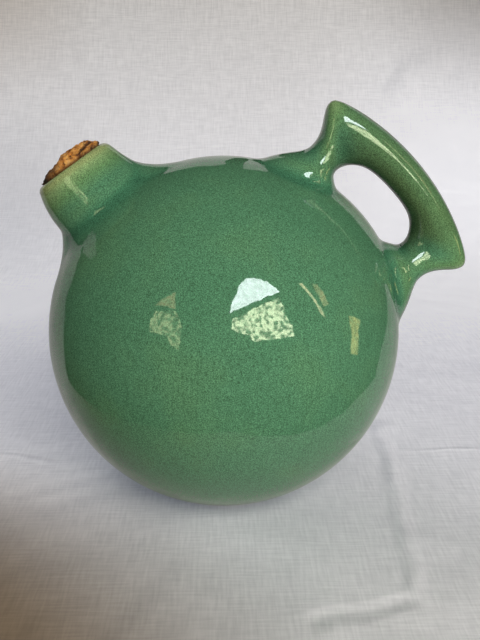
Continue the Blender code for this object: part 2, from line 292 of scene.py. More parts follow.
# Glaze: how far it flows as it melts, the bends, per metre, that still count, and those where it
# is thinnest and deepest
GLAZE_FLOW = 12
BEND_LIMIT = 300
THIN_BEND = -255
DEEP_BEND = 130

# It has run thin round the top of the spout: how far down from the mouth, where it is thinnest
# as a share of that, how much thinner it gets, and how far from the spout's axis it reaches
SPOUT_RUN = 0.013
SPOUT_RUN_FULL = 0.15
SPOUT_THINNING = 0.30
SPOUT_RUN_WIDTH = 2 * MOUTH_RADIUS

# From the thinnest glaze to the deepest
GLAZE_COLOURS = (
    (0.0, "93a069"),
    (0.2, "809b68"),
    (0.36, "618658"),
    (0.5, "4f7c5b"),
    (0.64, "417153"),
    (0.8, "345f47"),
    (1.0, "284f3a"),
)

# Patterns in the glaze, as noise scales per metre: clouds of deeper and thinner glaze about 30 mm
# across, runs about 1 mm wide and 30 mm long, and fine grain of crystals and bubbles of 0.4 mm.
# Then how far each changes the depth or the light, and between which values of the noise.
CLOUD_SCALE = 33
CLOUD_DEPTH = 0.035
CLOUD_NOISE = (0.3, 0.7)
RUN_SCALES = (900, 900, 35)
RUN_LIGHT = (0.9, 1.1)
GRAIN_SCALE = 2300
GRAIN_LIGHT = (0.55, 1.45)
MARK_NOISE = (0.25, 0.75)

# The coat lies in a slight swell, about 14 mm from crest to crest, with a faint orange peel of
# 2.4 mm: scales per metre and heights
SWELL_SCALE = 70
SWELL_HEIGHT = 0.00022
PEEL_SCALE = 420
PEEL_HEIGHT = 0.000012

# A second, browner coat on the handle's grip, which also stands for painted shade. It runs from
# nothing to full between two turns up from the ball's side, in degrees, at both ends, and between
# two heights over the ball. It is thinner where the handle faces outwards than where it faces the
# ball: the fuller, darker coat on the side towards the ball is painted shade.
BROWN_COAT_AND_SHADE = "c5aea6"
SECOND_COAT_LOW = (18, 28)
SECOND_COAT_HIGH = (66, 58)
SECOND_COAT_OVER = (0.004, 0.012)
SECOND_COAT_THIN = 0.4
SECOND_COAT_SHADE_FACING = (0.3, -0.6)

# Broken cork: colours of fresh tears, and of those that are stained dark, also used as painted
# shade
CORK_FRESH = ((0.30, "5c2f12"), (0.43, "a5672a"), (0.54, "cf9042"), (0.70, "e0b06a"))
CORK_STAINED_AND_SHADED = ((0.30, "0c0704"), (0.46, "24120a"), (0.58, "4c2a14"), (0.74, "6b4526"))

# The stain, from full to none across the spout from its pouring side. Then painted shade along the
# rim of the mouth, from full to none up from the mouth, and how strong it is at most
SIDE_STAIN = (-0.012, 0.002)
RIM_SHADE = (0.0006, 0.0022)
RIM_SHADE_SHARE = 0.8

# Torn grain of 2.6 mm with its height, and pores of 1.4 mm, as noise scales per metre
TORN_SCALE = 380
TORN_HEIGHT = 0.0006
PORE_SCALE = 700
PORE_NOISE = (0.62, 0.70)
PORE = "2a140a"

# Bare clay: grains of sand, about 1 mm, their height and their colours
SAND_SCALE = 900
SAND_HEIGHT = 0.0002
CLAY_COLOURS = ((0.35, "b39a7c"), (0.65, "d6c4a8"))

# Light of the room: from the sides, and from the ceiling, which takes over between these heights,
# where 0 is level and 1 straight up. Then what the glaze mirrors and what the camera sees.
AMBIENT = "565a5e"
CEILING = "3c3e3c"
CEILING_UP = (0.1, 0.8)
DIM_ROOM = "2a2d24"
BACKGROUND = "d6d5d3"

# Soft lamps: degrees round from the front and up, distance, size, power and colour
LAMPS = (
    ("window_light", 17, 27, 1.5, 1.0, 23.5, "fffcf8"),
    ("room_light", -150, 48, 1.8, 1.2, 11, "f6f9ff"),
)


def choose_nothing():
    if bpy.context.object and bpy.context.object.mode != "OBJECT":
        bpy.ops.object.mode_set(mode="OBJECT")
    bpy.ops.object.select_all(action="DESELECT")


def choose(piece, *others):
    """Leave only these pieces selected, the first one active."""
    choose_nothing()
    for item in (piece, *others):
        item.select_set(True)
    bpy.context.view_layer.objects.active = piece


def started(name):
    """The primitive that was just added, under its name and open for editing."""
    piece = bpy.context.object
    piece.name = piece.data.name = name
    bpy.ops.object.mode_set(mode="EDIT")
    return piece


def turned(piece, turn, location=(0, 0, 0)):
    """Tilt the piece about Y, move it, and put both into its mesh."""
    choose(piece)
    bpy.ops.object.transform_apply()
    piece.rotation_euler = (0, turn, 0)
    piece.location = location
    bpy.ops.object.transform_apply()


def placed(piece, location=(0, 0, 0), turn=0):
    """Close the edit, then put the piece's tilt about Y and its place into its mesh."""
    bpy.ops.object.mode_set(mode="OBJECT")
    turned(piece, turn, location)
    return piece


def modifier(piece, name, kind, **settings):
    """Add a modifier with its settings and apply it."""
    choose(piece)
    step = piece.modifiers.new(name, kind)
    for setting, value in settings.items():
        setattr(step, setting, value)
    bpy.ops.object.modifier_apply(modifier=step.name)


def arc(middle, radius, start, end, steps):
    """Points of an arc as (radius, height); angles run from the axis outwards."""
    for step in range(steps + 1):
        angle = start + (end - start) * step / steps
        yield middle[0] + radius * sin(angle), middle[1] + radius * cos(angle)


def turned_solid(name, rings, location=(0, 0, 0), turn=0):
    """A disc at the first ring, extruded and scaled ring by ring as on a wheel.

    A ring is its radius and height, and where it has a third size, its middle's place along X.
    """
    choose_nothing()
    rings = [(*ring, 0)[:3] for ring in rings]
    (radius, height, middle), *rest = rings
    bpy.ops.mesh.primitive_circle_add(
        vertices=TURN_STEPS, radius=radius, fill_type="NGON", location=(0, 0, height)
    )
    piece = started(name)
    for ring_radius, ring_height, ring_middle in rest:
        move = (ring_middle - middle, 0, ring_height - height)
        bpy.ops.mesh.extrude_region_move(TRANSFORM_OT_translate={"value": move})
        scale = ring_radius / radius
        middle_place = (ring_middle, 0, ring_height)
        bpy.ops.transform.resize(value=(scale, scale, 1), center_override=middle_place)
        radius, height, middle = ring_radius, ring_height, ring_middle
    bpy.ops.mesh.select_all(action="SELECT")
    bpy.ops.mesh.normals_make_consistent(inside=False)
    return placed(piece, location, turn)


def make_ball(name, radius, floor, steps):
    """A ball about the origin, cut flat at its floor."""
    choose_nothing()
    bpy.ops.mesh.primitive_uv_sphere_add(segments=steps, ring_count=steps // 2, radius=radius)
    ball = started(name)
    bpy.ops.mesh.bisect(
        plane_co=(0, 0, -floor), plane_no=(0, 0, 1), use_fill=True, clear_inner=True
    )
    return placed(ball)


def make_barrel():
    """The barrel of the spout, from its rounded lip down into the ball."""
    lip_middle = (MOUTH_RADIUS - LIP_RADIUS, SPOUT_REACH - LIP_RADIUS)
    rings = list(arc(lip_middle, LIP_RADIUS, 0, LIP_ROUND, LIP_STEPS))
    rings += [(radius, SPOUT_REACH - depth, lean) for depth, radius, lean in BARREL]
    return turned_solid("barrel", rings, SPOUT_ORIGIN, -SPOUT_TILT)


def make_collar(name, profile, narrowing):
    """Concave ring of clay about the foot of the barrel that runs out thin over the ball."""
    rings = [(radius, sqrt(BALL_RADIUS**2 - radius**2) + height) for radius, height in profile]
    edge_radius, edge_height = rings[-1]
    rings.append((edge_radius - COLLAR_TUCK_IN, edge_height - COLLAR_TUCK_DOWN))
    collar = turned_solid(name, rings)
    collar.scale = (1, narrowing, 1)
    turned(collar, -COLLAR_TILT)
    return collar


def cage_corners(row, leg):
    """One section of the handle's cage: outer front, outer back, inner back, inner front."""
    outer_angle, outer_height, inner_angle, inner_height, widening = row
    outer = (leg * outer_angle * HANDLE_HALF_SPREAD,
             BALL_RADIUS + outer_height * (HANDLE_REACH - BALL_RADIUS))
    hole_angle = leg * inner_angle * HOLE_HALF_SPREAD + HOLE_TURN
    hole_radius = RIDGE_RADIUS + inner_height * (GRIP_RADIUS - RIDGE_RADIUS)
    inner = (hole_angle, hole_radius - HOLE_SLANT * hole_angle)
    half = (GRIP_WIDTH + widening * (ROOT_WIDTH - GRIP_WIDTH)) * CAGE_SWELL / 2
    corners = []
    for (angle, radius), side in ((outer, -half), (outer, half), (inner, half), (inner, -half)):
        corners.append(Vector((radius * cos(angle), side, radius * sin(angle))))
    return corners


def shift_points(piece, moves):
    """Move points of the piece that is being edited, one by one, and leave them selected."""
    for index, move in moves:
        bpy.ops.mesh.select_all(action="DESELECT")
        cage = bmesh.from_edit_mesh(piece.data)
        cage.verts.ensure_lookup_table()
        cage.verts[index].select_set(True)
        bpy.ops.transform.translate(value=move)
    bpy.ops.mesh.select_all(action="DESELECT")
    cage = bmesh.from_edit_mesh(piece.data)
    cage.verts.ensure_lookup_table()
    for index, _ in moves:
        cage.verts[index].select_set(True)
    cage.select_flush(True)


def shift_corners(piece, corners):
    """Bring the selected corners of the cage's end to their places, each to its nearest."""
    cage = bmesh.from_edit_mesh(piece.data)
    end = [vert for vert in cage.verts if vert.select]
    moves = []
    for corner in corners:
        vert = min(end, key=lambda v: (v.co - corner).length)
        end.remove(vert)
        moves.append((vert.index, corner - vert.co))
    shift_points(piece, moves)


def make_handle():
    """The loop drawn out section by section, from the ball up one leg and down the other."""
    choose_nothing()
    sections = [cage_corners(row, 1) for row in HANDLE_CAGE[::-1]]
    sections += [cage_corners(row, -1) for row in HANDLE_CAGE[1:]]
    middle = sum(sections[0], Vector()) / 4
    bpy.ops.mesh.primitive_plane_add(size=GRIP_WIDTH, location=middle)
    handle = started("handle_loop")
    shift_corners(handle, [corner - middle for corner in sections[0]])
    for section in sections[1:]:
        bpy.ops.mesh.extrude_region_move(TRANSFORM_OT_translate={"value": (0, 0, CAGE_DRAW)})
        shift_corners(handle, [corner - middle for corner in section])
    bpy.ops.mesh.delete(type="ONLY_FACE")
    bpy.ops.mesh.select_all(action="SELECT")
    bpy.ops.mesh.remove_doubles(threshold=1e-5)
    bpy.ops.mesh.normals_make_consistent(inside=False)
    placed(handle)
    modifier(handle, "rounding", "SUBSURF", levels=CAGE_ROUNDING, render_levels=CAGE_ROUNDING)
    turned(handle, HANDLE_DIRECTION - pi / 2)
    return handle


def smoothstep(value):
    """Ease a value from 0 to 1, and hold it there outside that range."""
    value = max(0.0, min(1.0, value))
    return value * value * (3 - 2 * value)


def seam_shares(pot, trees):
    """For each point of the pot, 1 on a piece's seam with the ball, down to 0 past the reach."""
    shares = []
    for vert in pot.data.vertices:
        ball_gap = abs(vert.co.length - BALL_RADIUS)
        piece_gap = min(tree.find_nearest(vert.co)[3] for tree in trees)
        shares.append(smoothstep(1 - max(ball_gap, piece_gap) / SEAM_REACH))
    return shares


def weigh(piece, name, shares):
    """Keep each point's share as a vertex group, and give back its name."""
    group = piece.vertex_groups.new(name=name)
    for index, share in enumerate(shares):
        if share > 0:
            group.add((index,), share, "REPLACE")
    return name


def ball_shares(pot, seams):
    """For each point of the pot, 1 on the plain ball, 0 on the flat, on a seam or off the ball."""
    shares = []
    for vert, seam in zip(pot.data.vertices, seams):
        off = abs(vert.co.length - BALL_RADIUS)
        over_flat = smoothstep((vert.co.z + FLAT_DEPTH - FLAT_EDGE) / FLAT_BLEND)
        shares.append(smoothstep(1 - off / ROUND_REACH) * over_flat * (1 - seam))
    return shares


def saddle_share(place):
    """How much of the saddle's height a point gets; the handle's direction is +Z here."""
    if place.z < 0:
        return 0
    across = smoothstep(1 - abs(place.y) / SADDLE_HALF_WIDTH)
    along = smoothstep((SADDLE_END - abs(place.x)) / (SADDLE_END - SADDLE_FULL_LENGTH))
    return across * along * smoothstep(1 - (place.length - BALL_RADIUS) / SADDLE_FADE)


def fuse_clay(ball, barrel, collar, coil, handle):
    """The clay pieces become one skin, with wet-smoothed seams and a saddle below the handle."""
    scene = bpy.context.evaluated_depsgraph_get()
    spout_trees = [BVHTree.FromObject(piece, scene) for piece in (barrel, collar, coil)]
    handle_trees = [BVHTree.FromObject(handle, scene)]
    choose(ball, barrel, collar, coil, handle)
    bpy.ops.object.join()
    pot = ball
    pot.name = pot.data.name = "glazed_pot"
    modifier(pot, "one_skin", "REMESH", mode="VOXEL", voxel_size=CLAY_GRAIN)
    modifier(pot, "sponged", "SMOOTH", factor=0.5, iterations=SPONGE_PASSES)
    spout_seams = seam_shares(pot, spout_trees)
    root_seams = seam_shares(pot, handle_trees)
    for name, seams, passes in (("spout_seam", spout_seams, SPOUT_SEAM_PASSES),
                                ("root_seam", root_seams, ROOT_SEAM_PASSES)):
        group = weigh(pot, name, seams)
        modifier(pot, name, "SMOOTH", factor=0.5, iterations=passes, vertex_group=group)
    seams = map(max, seam_shares(pot, spout_trees), seam_shares(pot, handle_trees))
    group = weigh(pot, "thrown_round", ball_shares(pot, seams))
    modifier(pot, "thrown_round", "CAST", cast_type="SPHERE", factor=1.0, size=BALL_RADIUS,
             use_radius_as_size=False, vertex_group=group)
    turned(pot, -HANDLE_DIRECTION)
    group = weigh(pot, "saddle", [saddle_share(vert.co) for vert in pot.data.vertices])
    modifier(pot, "saddle", "DISPLACE", direction="Z", mid_level=0, strength=SADDLE_HEIGHT,
             vertex_group=group)
    turned(pot, HANDLE_DIRECTION)
    return pot


def bore_rings():
    """Outline of the bore's cutter, from over the mouth, round its softened edge, to the ball."""
    bottom = SPOUT_SEAT - MOUTH_RADIUS
    edge_middle = (BORE_RADIUS + BORE_EDGE, SPOUT_REACH - BORE_EDGE)
    rings = [(BORE_RADIUS + BORE_EDGE, SPOUT_REACH + BORE_START)]
    rings += list(arc(edge_middle, BORE_EDGE, 0, -pi / 2, BORE_EDGE_STEPS))
    rings.append((BORE_RADIUS - (SPOUT_REACH - bottom) * tan(BORE_TAPER), bottom))
    return rings


def hollow(pot):
    """The cavity of the ball and the tapered bore are cut out of the fused skin."""
    inner_floor = FLAT_DEPTH - FLOOR_THICKNESS
    cavity = make_ball("cavity", BALL_RADIUS - BALL_WALL, inner_floor, CAVITY_STEPS)
    bore = turned_solid("bore", bore_rings(), SPOUT_ORIGIN, -SPOUT_TILT)
    for cutter in (bore, cavity):
        modifier(pot, cutter.name, "BOOLEAN", object=cutter, operation="DIFFERENCE", solver="EXACT")
        choose(cutter)
        bpy.ops.object.delete()


def make_pot():
    """The whole fired pot: clay pieces formed apart, joined, hollowed and glazed."""
    ball = make_ball("raw_ball", BALL_RADIUS, FLAT_DEPTH, BALL_STEPS)
    collar = make_collar("collar", WIDE_COLLAR, COLLAR_NARROWING)
    coil = make_collar("coil", COIL, 1)
    pot = fuse_clay(ball, make_barrel(), collar, coil, make_handle())
    hollow(pot)
    turned(pot, 0, BALL_MIDDLE)
    bpy.ops.object.shade_smooth_by_angle(angle=POT_SMOOTH_ANGLE)
    lay_glaze(pot)
    lay_second_coat_and_shade(pot)
    return pot


def head_height(across):
    """Height of the cork's broken head over the mouth, at a place across the spout."""
    across = max(CORK_HEAD[0][0], min(CORK_HEAD[-1][0], across))
    for (x0, h0), (x1, h1) in zip(CORK_HEAD, CORK_HEAD[1:]):
        if across <= x1:
            return h0 + (h1 - h0) * (across - x0) / (x1 - x0)
    return CORK_HEAD[-1][1]


def tear(place):
    """Where a point of the cork's drawn head goes when the head is broken off."""
    share = place.z / CORK_DRAWN
    radius = sqrt(place.x**2 + place.y**2) / CORK_HEAD_RADIUS
    fall = 1 - CORK_FALL * (place.y / CORK_HEAD_RADIUS)**2
    edge = 1 - CORK_EDGE_LOSS * smoothstep((radius - CORK_EDGE_FROM) / CORK_EDGE_WIDTH)
    lump = sum(noise.noise(place * scale) * height for scale, height in CORK_LUMPS)
    pit_scale, pit_depth = CORK_PITS
    pitted = noise.noise(place * pit_scale + CORK_PITS_SHIFT)
    pit = smoothstep((pitted - CORK_PITS_FROM) / CORK_PITS_FADE) * pit_depth
    height = head_height(place.x) * fall * edge
    side = 1 + (lump - pit * CORK_PITS_ASIDE) / CORK_HEAD_RADIUS * smoothstep(share * 2)
    return Vector((place.x * side, place.y * side, share * (height + lump - pit)))


def crack_share(place):
    """How deep in the crack a point of the broken head lies, from 0 to 1."""
    along = (place.x - CRACK_FROM[0]) / (CRACK_TO[0] - CRACK_FROM[0])
    rise = CRACK_FROM[1] + (CRACK_TO[1] - CRACK_FROM[1]) * along
    start_share = smoothstep(along * CRACK_END_FADE + 0.5)
    end_share = smoothstep((1 - along) * CRACK_END_FADE + 0.5)
    wander_scale, wander = CRACK_WANDER
    off = abs(place.z - rise + noise.noise(place * wander_scale) * wander) / CRACK_HALF_WIDTH
    return start_share * end_share * smoothstep(CRACK_EDGE - off) * (place.y < 0)


def mark_points(piece, name, values):
    """Keep one value for each point of a piece, for its finish to read."""
    mark = piece.data.attributes.new(name, "FLOAT", "POINT")
    mark.data.foreach_set("value", values.astype(np.float32))


def make_cork():
    """A tapered plug whose head is drawn wider and up over the mouth, then broken."""
    choose_nothing()
    top = BORE_RADIUS - CORK_GAP
    bottom = top - CORK_DEPTH * tan(BORE_TAPER)
    bpy.ops.mesh.primitive_cone_add(
        vertices=CORK_STEPS, radius1=bottom, radius2=top, depth=CORK_DEPTH,
        location=(0, 0, -CORK_DEPTH / 2)
    )
    cork = started("broken_cork")
    bpy.ops.mesh.select_all(action="DESELECT")
    for face in bmesh.from_edit_mesh(cork.data).faces:
        face.select_set(face.normal.z > 0.9)
    spread = CORK_HEAD_RADIUS / top
    bpy.ops.mesh.extrude_region_move(TRANSFORM_OT_translate={"value": (0, 0, CORK_FLARE)})
    bpy.ops.transform.resize(value=(spread, spread, 1), center_override=(0, 0, CORK_FLARE))
    move = (0, 0, CORK_DRAWN - CORK_FLARE)
    bpy.ops.mesh.extrude_region_move(TRANSFORM_OT_translate={"value": move})
    placed(cork)
    modifier(cork, "crumbs", "REMESH", mode="VOXEL", voxel_size=CORK_GRAIN)
    shares = np.zeros(len(cork.data.vertices))
    for number, vert in enumerate(cork.data.vertices):
        if vert.co.z > 0:
            vert.co = tear(vert.co)
            shares[number] = crack_share(vert.co)
            vert.co.y += CRACK_DEPTH * shares[number]
    mark_points(cork, "crack", shares)
    turned(cork, -SPOUT_TILT, MOUTH_MIDDLE)
    bpy.ops.object.shade_smooth_by_angle(angle=CORK_SMOOTH_ANGLE)
    return cork


def places_and_normals(piece):
    """Where each point of a piece lies and where it faces, as rows."""
    places = np.empty(len(piece.data.vertices) * 3)
    piece.data.vertices.foreach_get("co", places)
    return places.reshape(-1, 3), np.array([vert.normal for vert in piece.data.vertices])


def average_round(values, first, second, count, number):
    """Each point's value averaged half and half with its neighbours'."""
    total = np.bincount(first, values[second], count) + np.bincount(second, values[first], count)
    return (values + total / number) / 2


def lay_glaze(pot):
    """Mark how deep the glaze lies, from how the clay bends: thin on edges, deep in hollows."""
    places, normals = places_and_normals(pot)
    count = len(places)
    ends = np.empty(len(pot.data.edges) * 2, dtype=np.int32)
    pot.data.edges.foreach_get("vertices", ends)
    first, second = ends.reshape(-1, 2).T
    step = places[second] - places[first]
    length_squared = np.maximum((step**2).sum(1), 1e-9)
    bend_first = 2 * (normals[first] * step).sum(1) / length_squared
    bend_second = -2 * (normals[second] * step).sum(1) / length_squared
    number = np.bincount(first, minlength=count) + np.bincount(second, minlength=count)
    total = np.bincount(first, bend_first, count) + np.bincount(second, bend_second, count)
    bend = np.clip(total / number, -BEND_LIMIT, BEND_LIMIT)
    for _ in range(GLAZE_FLOW):
        bend = average_round(bend, first, second, count, number)
    bend += 1 / BALL_RADIUS
    depth = 0.5 + np.where(bend < 0, -bend / THIN_BEND, bend / DEEP_BEND) / 2
    mouth, axis = np.array(MOUTH_MIDDLE), np.array(SPOUT_AXIS)
    below_mouth = (mouth - places) @ axis
    from_axis = np.linalg.norm(places - mouth + below_mouth[:, None] * axis, axis=1)
    run = np.clip(1 + SPOUT_RUN_FULL - below_mouth / SPOUT_RUN, 0, 1)
    depth -= SPOUT_THINNING * run * (from_axis < SPOUT_RUN_WIDTH)
    mark_points(pot, "glaze_depth", np.clip(depth, 0, 1))


def lay_second_coat_and_shade(pot):
    """Mark how much of the browner coat lies on each point of the grip, with painted shade where it
    faces the ball.
    """
    places, normals = places_and_normals(pot)
    out = places - np.array(BALL_MIDDLE)
    away = np.linalg.norm(out, axis=1)
    turn = np.degrees(np.arctan2(out[:, 2], out[:, 0]))
    coat_and_shade = np.ones(len(places))
    for values, (none, full) in ((turn, SECOND_COAT_LOW), (turn, SECOND_COAT_HIGH),
                                 (away - BALL_RADIUS, SECOND_COAT_OVER)):
        share = np.clip((values - none) / (full - none), 0, 1)
        coat_and_shade *= share * share * (3 - 2 * share)
    # Painted shade: the coat is fuller, and so darker, where the grip faces the ball
    facing_out = (normals * out).sum(1) / away
    none, full = SECOND_COAT_SHADE_FACING
    inward = np.clip((facing_out - none) / (full - none), 0, 1)
    coat_and_shade *= SECOND_COAT_THIN + (1 - SECOND_COAT_THIN) * inward
    mark_points(pot, "second_coat_and_shade", coat_and_shade)


def linear(hex_colour):
    """An sRGB hex colour as linear red, green, blue and alpha."""
    parts = [int(hex_colour[i:i + 2], 16) / 255 for i in (0, 2, 4)]
    return (*[v / 12.92 if v <= 0.04045 else ((v + 0.055) / 1.055)**2.4 for v in parts], 1)


def add_node(tree, kind, links=None, **settings):
    """Add a node with its settings; links give its inputs values or other nodes' outputs."""
    new = tree.nodes.new(kind)
    for setting, value in settings.items():
        setattr(new, setting, value)
    for name, value in (links or {}).items():
        if isinstance(value, bpy.types.NodeSocket):
            tree.links.new(value, new.inputs[name])
        else:
            new.inputs[name].default_value = value
    return new


def new_finish(name):
    finish = bpy.data.materials.new(name)
    finish.use_nodes = True
    tree = finish.node_tree
    return finish, tree, tree.nodes["Principled BSDF"]


def fill_ramp(ramp, stops):
    """Set a ramp's stops from (place, hex colour) pairs."""
    while len(ramp.elements) < len(stops):
        ramp.elements.new(1)
    for element, (place, colour) in zip(ramp.elements, stops):
        element.position = place
        element.color = linear(colour)


def green_glaze():
    """Copper-green pottery glaze, poured over a fired clay body and melted to a glassy coat."""
    finish, tree, shader = new_finish("fired_green_glaze")
    place = add_node(tree, "ShaderNodeTexCoord").outputs["Object"]
    depth = add_node(tree, "ShaderNodeAttribute", attribute_name="glaze_depth").outputs["Fac"]
    clouds = add_node(tree, "ShaderNodeTexNoise", {
        "Vector": place, "Scale": CLOUD_SCALE, "Detail": 3})
    cloud_depth = add_node(tree, "ShaderNodeMapRange", {
        "Value": clouds.outputs["Fac"], "From Min": CLOUD_NOISE[0], "From Max": CLOUD_NOISE[1],
        "To Min": -CLOUD_DEPTH, "To Max": CLOUD_DEPTH})
    laid = add_node(tree, "ShaderNodeMath", {0: depth, 1: cloud_depth.outputs["Result"]},
                    operation="ADD")
    ramp = add_node(tree, "ShaderNodeValToRGB", {"Fac": laid.outputs["Value"]})
    fill_ramp(ramp.color_ramp, GLAZE_COLOURS)
    # The browner coat, with its painted shade on the grip's side towards the ball
    second = add_node(tree, "ShaderNodeAttribute", attribute_name="second_coat_and_shade").outputs["Fac"]
    coated_and_shaded = add_node(tree, "ShaderNodeMix", {
        "Factor": second, 6: ramp.outputs["Color"], 7: linear(BROWN_COAT_AND_SHADE)},
        data_type="RGBA", blend_type="MULTIPLY")
    drawn_out = add_node(tree, "ShaderNodeMapping", {"Vector": place, "Scale": RUN_SCALES})
    runs = add_node(tree, "ShaderNodeTexNoise", {
        "Vector": drawn_out.outputs["Vector"], "Scale": 1, "Detail": 2})
    grain = add_node(tree, "ShaderNodeTexNoise", {
        "Vector": place, "Scale": GRAIN_SCALE, "Detail": 0})
    lights = []
    for marks, (darkest, lightest) in ((runs, RUN_LIGHT), (grain, GRAIN_LIGHT)):
        lights.append(add_node(tree, "ShaderNodeMapRange", {
            "Value": marks.outputs["Fac"], "From Min": MARK_NOISE[0], "From Max": MARK_NOISE[1],
            "To Min": darkest, "To Max": lightest}).outputs["Result"])
    light = add_node(tree, "ShaderNodeMath", {0: lights[0], 1: lights[1]}, operation="MULTIPLY")
    colour = add_node(tree, "ShaderNodeHueSaturation", {
        "Color": coated_and_shaded.outputs[2], "Value": light.outputs["Value"]})
    tree.links.new(colour.outputs["Color"], shader.inputs["Base Color"])
    swell = add_node(tree, "ShaderNodeTexNoise", {
        "Vector": place, "Scale": SWELL_SCALE, "Detail": 1})
    peel = add_node(tree, "ShaderNodeTexNoise", {
        "Vector": place, "Scale": PEEL_SCALE, "Detail": 1})
    swell_bump = add_node(tree, "ShaderNodeBump", {
        "Height": swell.outputs["Fac"], "Strength": 1, "Distance": SWELL_HEIGHT})
    peel_bump = add_node(tree, "ShaderNodeBump", {
        "Height": peel.outputs["Fac"], "Strength": 1, "Distance": PEEL_HEIGHT,
        "Normal": swell_bump.outputs["Normal"]})
    tree.links.new(peel_bump.outputs["Normal"], shader.inputs["Normal"])
    # Molten glass on top gives hard, bright mirror images
    shader.inputs["Roughness"].default_value = 0.03
    shader.inputs["IOR"].default_value = 1.52
    return finish


def broken_cork_finish():
    """Natural cork, broken and weathered: warm torn grain with dark pores and a stained end, and
    painted shade along the rim and in the crack.
    """
    finish, tree, shader = new_finish("broken_natural_cork")
    place = add_node(tree, "ShaderNodeTexCoord").outputs["Object"]
    grain = add_node(tree, "ShaderNodeTexNoise", {
        "Vector": place, "Scale": TORN_SCALE, "Detail": 5})
    fresh = add_node(tree, "ShaderNodeValToRGB", {"Fac": grain.outputs["Fac"]})
    fill_ramp(fresh.color_ramp, CORK_FRESH)
    stained_and_shaded = add_node(tree, "ShaderNodeValToRGB", {"Fac": grain.outputs["Fac"]})
    fill_ramp(stained_and_shaded.color_ramp, CORK_STAINED_AND_SHADED)
    # The stain gets deeper towards the pouring side; along the rim of the mouth the cork is
    # darkened as painted shade
    from_mouth = add_node(tree, "ShaderNodeVectorMath", {0: place, 1: MOUTH_MIDDLE},
                          operation="SUBTRACT").outputs["Vector"]
    stain_and_shade_shares = []
    for way, (full, none), share in ((SPOUT_SIDE, SIDE_STAIN, 1),
                                     (SPOUT_AXIS, RIM_SHADE, RIM_SHADE_SHARE)):
        along = add_node(tree, "ShaderNodeVectorMath", {0: from_mouth, 1: way},
                         operation="DOT_PRODUCT")
        stain_and_shade_shares.append(add_node(tree, "ShaderNodeMapRange", {
            "Value": along.outputs["Value"], "From Min": full, "From Max": none,
            "To Min": share, "To Max": 0}).outputs["Result"])
    stain_and_rim_shade = add_node(tree, "ShaderNodeMath", {0: stain_and_shade_shares[0], 1: stain_and_shade_shares[1]}, operation="MAXIMUM")
    # Painted shade: the crack is darkened with the stained colours
    crack = add_node(tree, "ShaderNodeAttribute", attribute_name="crack").outputs["Fac"]
    stain_and_shade = add_node(tree, "ShaderNodeMath", {0: stain_and_rim_shade.outputs["Value"], 1: crack},
                       operation="ADD", use_clamp=True)
    torn = add_node(tree, "ShaderNodeMix", {
        "Factor": stain_and_shade.outputs["Value"], 6: fresh.outputs["Color"],
        7: stained_and_shaded.outputs["Color"]}, data_type="RGBA")
    pores = add_node(tree, "ShaderNodeTexNoise", {
        "Vector": place, "Scale": PORE_SCALE, "Detail": 2})
    pore_share = add_node(tree, "ShaderNodeMapRange", {
        "Value": pores.outputs["Fac"], "From Min": PORE_NOISE[0], "From Max": PORE_NOISE[1]})
    pored = add_node(tree, "ShaderNodeMix", {
        "Factor": pore_share.outputs["Result"], 6: torn.outputs[2], 7: linear(PORE)},
        data_type="RGBA")
    tree.links.new(pored.outputs[2], shader.inputs["Base Color"])
    bump = add_node(tree, "ShaderNodeBump", {
        "Height": grain.outputs["Fac"], "Strength": 1, "Distance": TORN_HEIGHT})
    tree.links.new(bump.outputs["Normal"], shader.inputs["Normal"])
    shader.inputs["Roughness"].default_value = 0.85
    return finish


def bare_clay():
    """Unglazed fired earthenware: dry, buff and a little sandy where the pot stands."""
    finish, tree, shader = new_finish("bare_fired_clay")
    place = add_node(tree, "ShaderNodeTexCoord").outputs["Object"]
    sand = add_node(tree, "ShaderNodeTexNoise", {
        "Vector": place, "Scale": SAND_SCALE, "Detail": 4})
    ramp = add_node(tree, "ShaderNodeValToRGB", {"Fac": sand.outputs["Fac"]})
    fill_ramp(ramp.color_ramp, CLAY_COLOURS)
    tree.links.new(ramp.outputs["Color"], shader.inputs["Base Color"])
    bump = add_node(tree, "ShaderNodeBump", {
        "Height": sand.outputs["Fac"], "Strength": 1, "Distance": SAND_HEIGHT})
    tree.links.new(bump.outputs["Normal"], shader.inputs["Normal"])
    shader.inputs["Roughness"].default_value = 0.9
    return finish


def dress(piece, finish):
    piece.data.materials.clear()
    piece.data.materials.append(finish)


def inside(point, outline):
    """Whether a point lies inside a closed outline."""
    x, y = point
    hit = False
    for (x0, y0), (x1, y1) in zip(outline, outline[1:] + outline[:1]):
        if (y0 > y) != (y1 > y) and x < x0 + (x1 - x0) * (y - y0) / (y1 - y0):
            hit = not hit
    return hit


def sweep_up(place):
    """Where a point of the flat cloth goes: flat on the floor, up the sweep, then hanging."""
    along = place.y - SWEEP_START
    turn = max(0.0, min(pi / 2, along / SWEEP_RADIUS))
    hang = max(0.0, along - SWEEP_RADIUS * pi / 2)
    back = min(place.y, SWEEP_START) + SWEEP_RADIUS * sin(turn)
    return Vector((place.x, back, SWEEP_RADIUS * (1 - cos(turn)) + hang))


